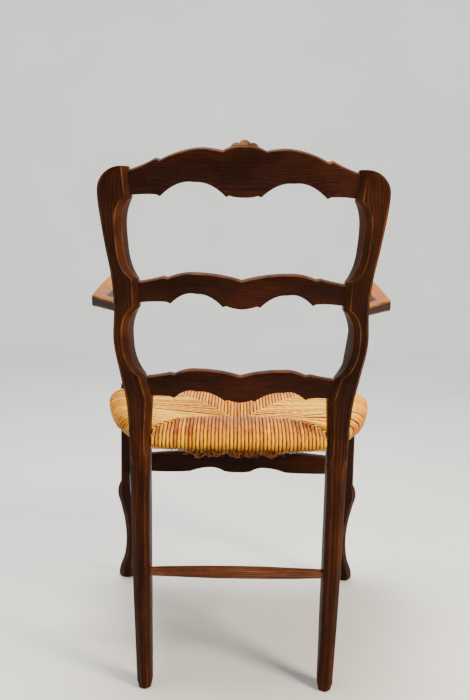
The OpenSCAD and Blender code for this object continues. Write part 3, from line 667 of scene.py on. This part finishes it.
carved_pts, carved_faces, carved_rub = [], [], []
spoons = [(math.radians(a), petal_r, petal_l, petal_w, carving_t + (a % fan) / 50, (0, 0))
          for a in range(-fan, fan + 1, fan_step)]
spoons += [(math.radians(s * leaf_turn), 0, leaf_l, leaf_w, carving_t - 1, (-s * leaf_out, -leaf_down))
           for s in (-1, 1)]
spoons += [(0, 0, boss_d, boss_d, carving_t + 1, (0, 0))]
for sizes in spoons:
    pts, rims = spoon(*sizes)
    carved_faces += tube_faces(petal_rings, petal_sides, len(carved_pts))
    carved_rub += rims
    for x, y, up in pts:
        drop = slat_bow * (x / end_x) ** 2
        carved_pts.append(leaning(crest_z, x, carving_y + y - drop, carving_z + up))
flower = make_piece("crest_flower", carved_pts, carved_faces, flower_wood, sharp=60)
give(flower, "wear_and_highlight", carved_rub)

# %% [markdown]
# ## Front legs and arm supports
#
# A front leg is a cabriole: a pad foot turned forward, a slim ankle, a full knee, then a square
# block for the rail joints. Above the seat the same piece goes on as a thin shaped support for
# the arm. Eight eased corners again, with stations from the floor up.

# %% Leg shape
block_z, ankle_w, foot_fwd, foot_l = 245, 26, 28, 38
arm_t, arm_w, arm_end, elbow_out, arm_lift = 21, 31, 36, 56, 22
elbow_y = y_rear - 60
arm_slope = math.atan(arm_lift / (y_rear - y_front - 20))
arm_h = high("arm_left").z - math.sin(arm_slope) * (elbow_y - y_front + arm_end)
support_top = arm_h + arm_lift - arm_t + 1
arm_mid = rear_half + post_w / 2 + 24 + elbow_out - arm_w / 2 + 4
support_out = arm_mid - front_half


def up_support(k):
    return seat_h + 4 + (support_top - seat_h - 4) * k


leg_low = [
    (0, 13, foot_fwd - 1, 30, foot_l - 6, 9), (0.03 * block_z, 13.5, foot_fwd, 37, foot_l, 10),
    (0.11 * block_z, 11.5, foot_fwd - 5, 35, foot_l - 2, 10),
    (0.22 * block_z, 5.5, foot_fwd / 2 - 3, ankle_w + 2, ankle_w + 2.5, 8),
    (0.35 * block_z, 1, 2, ankle_w - 0.5, ankle_w - 0.5, 8),
    (0.48 * block_z, 0.5, 0.5, ankle_w, ankle_w, 8), (0.62 * block_z, 2, 2, ankle_w + 5, ankle_w + 5, 8),
    (0.76 * block_z, 4.5, 4.5, leg_w - 5, leg_w - 5, 8), (0.87 * block_z, 6, 6, leg_w + 5, leg_w + 5, 8),
    (0.95 * block_z, 4, 4, leg_w + 3, leg_w + 3, 7), (0.99 * block_z, 0.5, 0.5, leg_w - 3, leg_w - 3, 3)]
leg_high = [
    (up_support(0), 2, 0, leg_w - 6, leg_w - 6, 4), (up_support(0.06), 4, -2, 33, 35, 6),
    (up_support(0.25), 5, -7, 27, 29, 7), (up_support(0.5), mix(5, support_out, 0.45), 2, 24, 26, 7),
    (up_support(0.78), mix(5, support_out, 0.85), 10, 26, 29, 6), (up_support(1), support_out, 4, 29, 31, 5)]


def leg_ring(z, out, fore, wide, deep, chamfer):
    x, y, w, d, c = front_half + out, y_front - fore, wide / 2, deep / 2, chamfer
    section = eased([(x + w - c, y - d), (x + w, y - d + c), (x + w, y + d - c), (x + w - c, y + d),
                     (x - w + c, y + d), (x - w, y + d - c), (x - w, y - d + c), (x - w + c, y - d)], 1.8)
    return [(*p, z) for p in section]


# %% Make the front legs
leg_rings = [leg_ring(z, *[spline(leg_low, z, k) for k in range(1, 6)])
             for z in levels([0, 2, 0.03 * block_z, 0.99 * block_z], 5)]
leg_rings += [leg_ring(z, 0, 0, leg_w, leg_w, 2) for z in levels([block_z, seat_h - 2, seat_h + 3], 12)]
leg_rings += [leg_ring(z, *[spline(leg_high, z, k) for k in range(1, 6)])
              for z in levels([up_support(0), up_support(1)], 5)]
pair("leg", leg_rings, leg_wood, "walnut_stained_wood", "front_leg",
     corners=(0.6,) * 8, flats=(0.15, 0) * 4)

# %% [markdown]
# ## Front apron
#
# The apron ties the front legs under the seat. Its lower edge has the same arches and cusps as
# the slats, so it is the same kind of loft, upright this time.

# %% Make the apron
apron_t, apron_end, apron_z = 20, 36, middle("apron_pegs").z
apron_x = front_half - leg_w / 2
apron_top = curve([(apron_x + 9, apron_end / 2, 4), (0, apron_end / 2 + 13, 0)])
apron_low = curve([(apron_x + 9, -apron_end / 2, -2), (108, -apron_end / 2, 2), (64, -apron_end / 2 + 10, 3),
                   (30, -apron_end / 2 + 1, -1), (0, -apron_end / 2 - 1, 0)])
rings, t = [], apron_t / 2
for x in levels([-apron_x - into_post, apron_x + into_post], 1.8):
    hi, lo = [apron_z + up for up in edges_at(x, apron_top, apron_low)]
    section = eased([(y_front + t, lo), (y_front + t, hi), (y_front - t, hi), (y_front - t, lo)], 2)
    rings.append([(x, y, z) for y, z in section])
loft("apron", rings, rail_wood, "walnut_stained_wood", ["front_apron"], sharp=50,
     corners=(0.4, 0.3, 0.3, 0.6), flats=(0, 0, 0, 0.1), bends=False)

# %% [markdown]
# ## Arms
#
# An arm leaves its post, runs out to a sharp elbow and turns forward to end in a rounded grip
# past its support. Its top is rubbed to bare honey wood, and its sides keep the dark finish. It
# is lofted between an inner and an outer line seen from above, so that the elbow stays crisp.

# %% Arm shape
post_side = post_out(arm_h - arm_t / 2)
arm_root_y = post_y(arm_h - arm_t / 2) - 16
arm_end_r = 19
arm_stations = [    # outer x, outer y, inner x, inner y
    (post_side - 14, arm_root_y + 19, post_side - 14, arm_root_y - 14),
    (post_side, arm_root_y + 18, post_side - 4, arm_root_y - 14),
    (post_side + elbow_out - 7.5, elbow_y + 8.5, post_side + elbow_out - 30, elbow_y - 1.5),
    (post_side + elbow_out - 2, elbow_y + 1, post_side + elbow_out - 28.5, elbow_y - 4),
    (post_side + elbow_out - 0.5, elbow_y - 9, post_side + elbow_out - 28.5, elbow_y - 13),
    (arm_mid + arm_w / 2 + 1, (elbow_y + y_front) / 2, arm_mid - arm_w / 2 - 1, (elbow_y + y_front) / 2),
    (arm_mid + arm_end_r, y_front - arm_end + arm_end_r, arm_mid - arm_end_r, y_front - arm_end + arm_end_r)]


def arm_ring(ox, oy, ix, iy, thick):
    """A cross-section between an outer and an inner point, eased most along its upper edges."""
    span = math.hypot(ox - ix, oy - iy)
    section = eased([(0, 0), (span, 0), (span, -thick), (0, -thick)], [4.5, 4.5, 5.5, 4], 6)
    ring = []
    for along, down in section:
        x, y = mix(ox, ix, along / span), mix(oy, iy, along / span)
        ahead = elbow_y - y
        ring.append((x, elbow_y - ahead * math.cos(arm_slope) + down * math.sin(arm_slope),
                     arm_h + ahead * math.sin(arm_slope) + down * math.cos(arm_slope)))
    return ring


# %% Make the arms
arm_rings = []
for n, (a, b) in enumerate(zip(arm_stations, arm_stations[1:])):
    steps = max(2, int(math.hypot(a[0] - b[0], a[1] - b[1]) / 5))
    thick = {0: (16, 16), 1: (16.5, 20.5)}.get(n, (arm_t, arm_t))
    for t in np.arange(steps) / steps:
        arm_rings.append(arm_ring(*[mix(p, q, t) for p, q in zip(a, b)], mix(*thick, t)))
end_y = arm_stations[-1][1]
for a in np.linspace(0, math.radians(82), 12):
    reach, ahead = arm_end_r * math.cos(a), arm_end_r * math.sin(a)
    arm_rings.append(arm_ring(arm_mid + reach, end_y - ahead, arm_mid - reach, end_y - ahead, arm_t))
pair("arm_rest", arm_rings, arm_wood, "worn_arm_wood", "arm", sharp=45,
     corners=(0.9, 0.9, 0.7, 0.5), flats=(0, 0, 0, 0))

# %% [markdown]
# ## Stretchers
#
# The stretchers were turned on a pole lathe: thin at the ends, full in the middle, never quite
# round. Each is a stack of rings with a slow wobble, along the line between its two sockets.

# %% Make the stretchers
str_mid_d, str_end_d = 23, 16


def turned(name, start, finish, material, node, wobble):
    start, finish = Vector(start), Vector(finish)
    line = finish - start
    across = line.cross(Vector((0, 0, 1))).normalized()
    rings = []
    for t in np.linspace(0, 1, 90):
        fat = math.sin(math.pi * clamp01((t * 24 - 1) / 22)) ** 0.8
        r = mix(str_end_d, str_mid_d, fat) / 2
        centre = start + line * t
        ring = []
        for a in np.arange(28) * 2 * math.pi / 28:
            flat = 1 + 0.018 * math.cos(3 * a + wobble + 5 * t)
            ring.append(centre + (across * math.cos(a) + Vector((0, 0, math.sin(a)))) * r * flat)
        rings.append([tuple(p) for p in ring])
    loft(name, rings, material, "walnut_stained_wood", [node], rough=0.35)


rear_str = middle("rear_stretcher")
turned("stretcher_rear", (low("rear_stretcher").x, rear_str.y, rear_str.z),
       (high("rear_stretcher").x, rear_str.y, rear_str.z), stretcher_wood, "rear_stretcher", 0)
for side, sign in (("left", 1), ("right", -1)):
    node = f"side_stretcher_{side}"
    box_low, box_high = low(node), high(node)
    inner, outer = (box_low.x, box_high.x) if sign > 0 else (box_high.x, box_low.x)
    r = str_end_d / 2
    turned(f"stretcher_{side}", (inner + sign * r, box_high.y - 1, middle(node).z),
           (outer - sign * r, box_low.y + 1, middle(node).z), side_wood, node, sign)

# %% [markdown]
# ## The rush seat
#
# Rush is wound wet, two or three leaves twisted into one cord that never ends: over a rail, up
# through the middle, over the next rail, round and round, until four triangles meet along
# mitred seams. A woven texture on a pad can't show that, since every cord catches the light by
# itself, so each cord is its own tube: from the seam, out over the dished top, round the rail
# and back underneath. A twist of two lobes, a slow wander and its own tone keep any two from
# looking alike. The tubes carry their own coordinates, so that the fibres follow the twist.

# %% Seat shape
rush_t, low_dish, rush_front = 8, 5, 34
roll_h = rail_h / 2 + rush_t
under = rail_mid - roll_h + 3               # height of the seat's underside
edge_front, edge_rear = y_front - rush_front, y_rear + post_d / 2 - 2
cord_gap = 6.7          # mm from one cord to the next
cord_r = cord_gap * 0.51
post_inner, post_fore = rear_half - post_w / 2, y_rear - post_d / 2
leg_inner, leg_rear = front_half - leg_w / 2, y_front + leg_w / 2
side_edge = [(edge_front, front_half + 32), (y_front + 23, front_half + 38),
             (y_front + 76, front_half + 40.5), (y_front + 191, front_half + 22),
             (y_rear - 142, rear_half + 64), (y_rear - 69, rear_half + 36),
             (y_rear - 20, rear_half + 19), (edge_rear, rear_half + 12)]


def edge_side(y):
    """How far out the side of the seat is at this depth: the stuffing bellies it out."""
    return spline(side_edge, y, 1)


def near_leg(gap):
    """1 beside a leg, where the cords lie tight on the rail, falling to 0 away from it."""
    return math.exp(-max(0, gap) / 16)


# height of a seam above the seat's rim: share of the way from the middle to the corner, height
seam_line = [(0, -27), (0.1, -17), (0.2, -9), (0.45, 2.5), (0.72, 9), (0.9, 5), (1, -6)]
past_seam = 4           # how far a cord's ends run on past its seam, so that no end shows


def tucked(out):
    """How far a cord dips at this distance out from its seam."""
    return 3.2 * (1 - clamp01((out + past_seam) / 8)) ** 2


def cord_path(start, stop, edge, place, seam_up, tight, sag=0.0, swell=0.0, climb=0.9):
    """Centre line of one cord, from its seam over the rim and back under the seat.

    Distances run from the seam (start) to the top of the rim (stop) and the edge of the seat.
    """
    top = seat_h - 6 * tight
    bottom = under + 9 * tight
    line = []
    for a in levels([start - past_seam, stop], 4.2):
        t = clamp01(part_of(a, start, stop))
        rise = mix(seat_h + seam_up, top, t**climb) + 4 * swell * t * (1 - t)
        line.append((*place(a), rise - cord_r - tucked(a - start)))
    roll = edge - stop - 3 * tight
    n = 2.15            # a little squarer than a circle, as cords round a rail are
    for turn_by in np.linspace(math.pi / 2, -math.pi / 2, 19)[1:-1]:
        c, s = math.cos(turn_by), math.sin(turn_by)
        a = stop + (roll - cord_r) * c ** (2 / n)
        up = math.copysign(abs(s) ** (2 / n), s)
        tall = top - rail_mid if s > 0 else rail_mid - bottom
        line.append((*place(a), rail_mid + (tall - cord_r) * up - sag * clamp01(-s) ** 1.5))
    for a in levels([start - past_seam, stop], 8)[::-1]:
        slack = sag * clamp01(1 - (stop - a) / 60) ** 2
        t = clamp01(part_of(a, start, stop))
        line.append((*place(a), mix(bottom + low_dish, bottom, t) + cord_r + tucked(a - start) - slack))
    return np.array(line)


# %% One cord
CORD_SIDES = 12
TWIST = 34.0            # mm of cord for a full turn of its leaves
chance = random.Random(11)


class Winding:
    """Gathers the tubes of many cords into one mesh, with their fibre coordinates and tones."""

    def __init__(self):
        self.points, self.faces, self.fibre, self.tone, self.crown = [], [], [], [], []

    def cord(self, line, across, radius=cord_r, wobble=0.5, top_shading=0.0, uneven=0.1):
        """top_shading is painted shade: it lowers the tone of the upward-facing stretch before the rim; a
        negative value paints light there instead.
        """
        line = np.array(line, float)
        seed = chance.uniform(0, 900)
        tone = chance.gauss(0.5, uneven)
        line[:, 2] += chance.gauss(0, 3.5 * uneven)
        gaps = np.linalg.norm(np.diff(line, axis=0), axis=1)
        run = np.concatenate([[0], np.cumsum(gaps)])
        ahead = np.gradient(line, axis=0)
        ahead /= np.linalg.norm(ahead, axis=1)[:, None]
        side = np.array(across, float) - ahead * (ahead @ np.array(across, float))[:, None]
        side /= np.linalg.norm(side, axis=1)[:, None]
        up = np.cross(side, ahead)
        first = sum(len(p) for p in self.points)
        angles = np.arange(CORD_SIDES) * 2 * math.pi / CORD_SIDES
        for i, centre in enumerate(line):
            drift = noise.noise_vector(Vector((run[i] * 0.035, seed, 0)))
            fat = 1 + 0.10 * noise.noise(Vector((run[i] * 0.05, seed, 7)))
            spin = 2 * math.pi * run[i] / TWIST + seed
            lobes = radius * fat * (1 + 0.075 * np.cos(2 * (angles - spin)))
            middle_line = centre + side[i] * drift[0] * wobble + up[i] * drift[1] * wobble
            ring = (middle_line + side[i] * (np.cos(angles) * lobes)[:, None]
                    + up[i] * (np.sin(angles) * lobes)[:, None])
            self.points.append(ring)
            leaf = np.stack([np.cos(angles - spin) * radius, np.sin(angles - spin) * radius,
                             np.full(CORD_SIDES, run[i])], -1) * MM
            self.fibre.append(leaf + (0, 0, seed))
            shade = tone + 0.2 * noise.noise(Vector((run[i] * 0.02, seed, 3)))
            # painted shade on the upward-facing stretch of the cord; a negative top_shading paints light
            # there
            shade -= top_shading * clamp01(up[i][2] * 3 - 2)
            self.tone.append(np.full(CORD_SIDES, shade))
            self.crown.append(np.sin(angles))
        self.faces += tube_faces(len(line), CORD_SIDES, first)

    def finish(self, name, material, slot, nodes):
        made = make_piece(name, np.concatenate(self.points), self.faces, material, nodes, sharp=80)
        give(made, "fibre", np.concatenate(self.fibre), "FLOAT_VECTOR", "vector")
        give(made, "tone", np.concatenate(self.tone))
        give(made, "crown", np.concatenate(self.crown))


# %% [markdown]
# ## Rush as a material
#
# Dried rush is a leaf: straw yellow where light hits it and amber where it has aged. Its cords'
# flanks carry a painted brown shade, where the folds between cords lie. It has a dry silky sheen
# from long parallel fibres. The colour comes from each cord's own tone, which also carries a
# painted shade on the tops of the rear cords and a painted light on the tops of the side cords,
# plus fine streaks along the fibres, and a painted shade darkens the seat's low edges.

# %% Rush material
FIBRE = 0.8             # mm across a visible fibre
LEAF_PATCH = 1000 / 45  # mm along a leaf before its colour changes
AGED_PATCH = 1000 / 9   # mm across a part of the seat that has aged alike
rush, tree, shader = new_material("twisted_rush")
fibre = add(tree, "Attribute", attribute_name="fibre").outputs["Vector"]
tone = add(tree, "Attribute", attribute_name="tone").outputs["Fac"]
place = add(tree, "TexCoord").outputs["Object"]
along = add(tree, "Mapping", {"Vector": fibre, "Scale": (1, 1, 0.03)}).outputs[0]
strands = add(tree, "TexNoise", {"Vector": along, "Scale": 1000 / FIBRE, "Detail": 3.0}).outputs["Fac"]
patch = add(tree, "TexNoise", {"Vector": fibre, "Scale": 1000 / LEAF_PATCH, "Detail": 3.0}).outputs["Fac"]
age = add(tree, "TexNoise", {"Vector": place, "Scale": 1000 / AGED_PATCH, "Detail": 3.0}).outputs["Fac"]
for part, share in ((strands, 0.75), (patch, 0.5), (age, 0.5)):
    tone = add(tree, "Math", {0: part, 1: share, 2: tone}, operation="MULTIPLY_ADD").outputs[0]
tone = add(tree, "MapRange", {"Value": tone, "From Min": 0.85, "From Max": 1.95}).outputs[0]
straw = add(tree, "ValToRGB", {"Fac": tone},
            stops=[(0.05, "#864200"), (0.95, "#facb3a"), (0.3, "#ca7804"), (0.6, "#f2a610")]).outputs["Color"]

crown = add(tree, "Attribute", attribute_name="crown").outputs["Fac"]
# Painted shade: away from its crown a cord is mixed towards dark brown, the shade in the folds between cords.
groove_shade = add(tree, "MapRange", {"Value": crown, "From Min": 0.97, "From Max": 0.42,
                                "To Min": 0.0, "To Max": 0.95}).outputs[0]
straw = add(tree, "Mix", {0: groove_shade, 6: straw, 7: linear("#4e1d06")}, data_type="RGBA").outputs[2]
height = add(tree, "SeparateXYZ", {0: place}).outputs["Z"]
# Painted shade: below the middle of the rails the rush is mixed towards dark brown, most at the bottom of
# each roll and under the seat.
low_shade = add(tree, "MapRange", {"Value": height, "From Min": (rail_mid + 3) * MM, "To Min": 0.0,
                              "From Max": (rail_mid - 0.6 * roll_h) * MM, "To Max": 0.85}).outputs[0]
straw = add(tree, "Mix", {0: low_shade, 6: straw, 7: linear("#4c2408")}, data_type="RGBA").outputs[2]
relief = add(tree, "Bump", {"Strength": 0.5, "Distance": 0.35 * MM, "Height": strands}).outputs[0]
feed(tree, shader, {"Base Color": straw, "Roughness": 0.38, "Specular IOR Level": 0.15, "Normal": relief})

# %% Wind the seat
sections = {name: Winding() for name in ("rear", "front", "right", "left")}
roll_rear, roll_front, roll_side = 24, 31, 34
rear_reach, front_reach = rear_half, front_half     # from a leg's middle to where its seam ends
count = 0
for name, half_width, reach, rail_y, edge, roll, facing in (
        ("rear", post_inner - 0.5, rear_reach, y_rear, edge_rear, roll_rear, 1),
        ("front", leg_inner - 0.5, front_reach, y_front, edge_front, roll_front, -1)):
    cords = round(2 * half_width / cord_gap)
    for k in range(cords):
        x = -half_width + (k + 0.5) * 2 * half_width / cords
        start = rail_y * facing - (reach - abs(x))
        middling = max(0, 1 - (x / 125) ** 2)
        sag = 6 * middling * chance.uniform(0.3, 1.1) if facing > 0 else 0
        shape = dict(swell=8 * middling, climb=0.4) if facing > 0 else {}
        line = cord_path(start, edge * facing - roll, edge * facing, lambda a, x=x: (x, a * facing),
                         spline(seam_line, abs(x) / half_width, 1), near_leg(half_width - abs(x)),
                         sag, **shape)
        # painted shade on the tops of the rear cords, a little on the front ones
        sections[name].cord(line, (facing, 0, 0), top_shading=0.3 if facing > 0 else 0.05)
        count += 1
side_from, side_to = leg_rear + 0.5, post_fore - 0.5
cords = round((side_to - side_from) / cord_gap)
for name, sign in (("right", -1), ("left", 1)):
    for k in range(cords):
        y = side_from + (k + 0.5) * (side_to - side_from) / cords
        fore, back = front_reach - (y - y_front), rear_reach - (y_rear - y)
        start = max(fore, back, 2)
        seam_up = spline(seam_line, fore / leg_inner if fore > back else back / post_inner, 1)
        tight = max(near_leg(y - side_from), near_leg((side_to - y) * 0.6))
        line = cord_path(start, edge_side(y) - roll_side, edge_side(y), lambda a, y=y, s=sign: (s * a, y),
                         seam_up, tight)
        # painted light on the tops of the side cords
        sections[name].cord(line, (0, -sign, 0), top_shading=-0.2, uneven=0.17)
        count += 1

# %% [markdown]
# ## Slack cords and torn fibres
#
# Under the middle of the rear edge a few cords have slackened and many thin fibres have torn
# loose. A fringe of straight lines would look combed, so each slack cord hangs from two tucked
# ends and each fibre drops, swings and curls by its own seeded amounts. They belong to the rear
# section, so they use its winding.

# %% Add the loose ends
for k in range(24):         # slack cords
    x, reach = chance.uniform(-74, 78), chance.uniform(9, 22)
    y, drop = y_rear + chance.uniform(-6, 10), chance.uniform(1, 8)
    shear = chance.uniform(-9, 9)
    line = [(x + reach * t + shear * math.sin(math.pi * t), y + 5 * t, under + 5 - (drop + 5) * scoop(t, 2.6))
            for t in np.linspace(0, 1, 26)]
    sections["rear"].cord(line, (0, 1, 0), radius=chance.uniform(1.6, 2.6), wobble=1.0, top_shading=0.3)
for k in range(90):         # torn fibres
    x, y, drop = chance.uniform(-78, 92), y_rear + chance.uniform(0, 15), chance.uniform(6, 18)
    curl, swing = chance.uniform(-16, 16), chance.uniform(-5, 9)
    line = [(x + curl * t * t, y + swing * t * t, under + 4 - drop * (t - 0.35 * t**3))
            for t in np.linspace(0, 1, 14)]
    sections["rear"].cord(line, (0, 1, 0), radius=chance.uniform(0.25, 0.5), wobble=1.5, uneven=0.2)

# %% Finish the four sections
for name, winding in sections.items():
    winding.finish(f"rush_{name}", rush, "rush", ["rush_seat"])
print(count, "cords of rush")

# %% [markdown]
# ## Stuffing
#
# Broken rush is packed between the upper and lower cords to round the seat out. Only a hint of
# it shows in the seams, so it is a plain crowned pad, roughened, in a darker tone. A cloth
# simulation would suit a cushion, but this pad is held tight by the cords on every side.

# %% Stuffing
CRUMB = 1000 / 260      # mm across a crumb of broken rush
stuffing_material, tree, shader = new_material("packed_broken_rush")
place = add(tree, "TexCoord").outputs["Object"]
crumble = add(tree, "TexNoise", {"Vector": place, "Scale": 1000 / CRUMB, "Detail": 5.0}).outputs["Fac"]
tone = add(tree, "ValToRGB", {"Fac": crumble}, stops=[(0.3, "#3b2410"), (0.7, "#80562a")]).outputs["Color"]
feed(tree, shader, {"Base Color": tone, "Roughness": 0.9})

inset, columns, rows = 0.78, 60, 56
pad_mid_y = (edge_front + edge_rear) / 2
pad_points, pad_faces = [], []
for layer in (0, 1):
    for j in range(rows + 1):
        v = 2 * j / rows - 1
        y = pad_mid_y + v * inset * (edge_rear - edge_front) / 2
        for i in range(columns + 1):
            u = 2 * i / columns - 1
            x = edge_side(y) * inset * u
            rim = clamp01((1 - max(abs(u), abs(v))) / 0.15) ** 0.6
            crown = seat_h - 38 + 22 * max(abs(u), abs(v)) ** 1.3
            z = mix(rail_mid, crown if layer else rail_mid - roll_h + low_dish + 2 * cord_r + 1.5, rim)
            z += 0.5 * noise.noise(Vector((x * 0.15, y * 0.15, layer)))
            pad_points.append((x, y, z))
stride = (rows + 1) * (columns + 1)
for j in range(rows):
    for i in range(columns):
        a = j * (columns + 1) + i
        quad = (a, a + 1, a + columns + 2, a + columns + 1)
        pad_faces += [quad, tuple(stride + n for n in reversed(quad))]
rim_loop = (list(range(columns + 1)) + [j * (columns + 1) + columns for j in range(1, rows + 1)]
            + [rows * (columns + 1) + i for i in range(columns - 1, -1, -1)]
            + [j * (columns + 1) for j in range(rows - 1, 0, -1)])
for a, b in zip(rim_loop, rim_loop[1:] + rim_loop[:1]):
    pad_faces.append((b, a, a + stride, b + stride))
stuffing = make_piece("seat_stuffing_pad", pad_points, pad_faces, stuffing_material,
                      ["seat_stuffing"], sharp=70)

# %% [markdown]
# ## Rails and pegs
#
# The seat rails keep the frame's own shape: they are plain sawn bars buried in the rush. The
# pegs keep theirs too, since a peg is a plain riven pin. Both only need their wood.

# %% Finish the carried-over parts
rails = ("front_seat_rail", "rear_seat_rail", "side_seat_rail_left", "side_seat_rail_right")
for wood, names in ((bare_wood, rails), (peg_wood, ("crest_pegs", "slat_pegs", "apron_pegs", "arm_pegs"))):
    for name in names:
        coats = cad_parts[name].data.materials
        coats.clear()
        coats.append(wood)
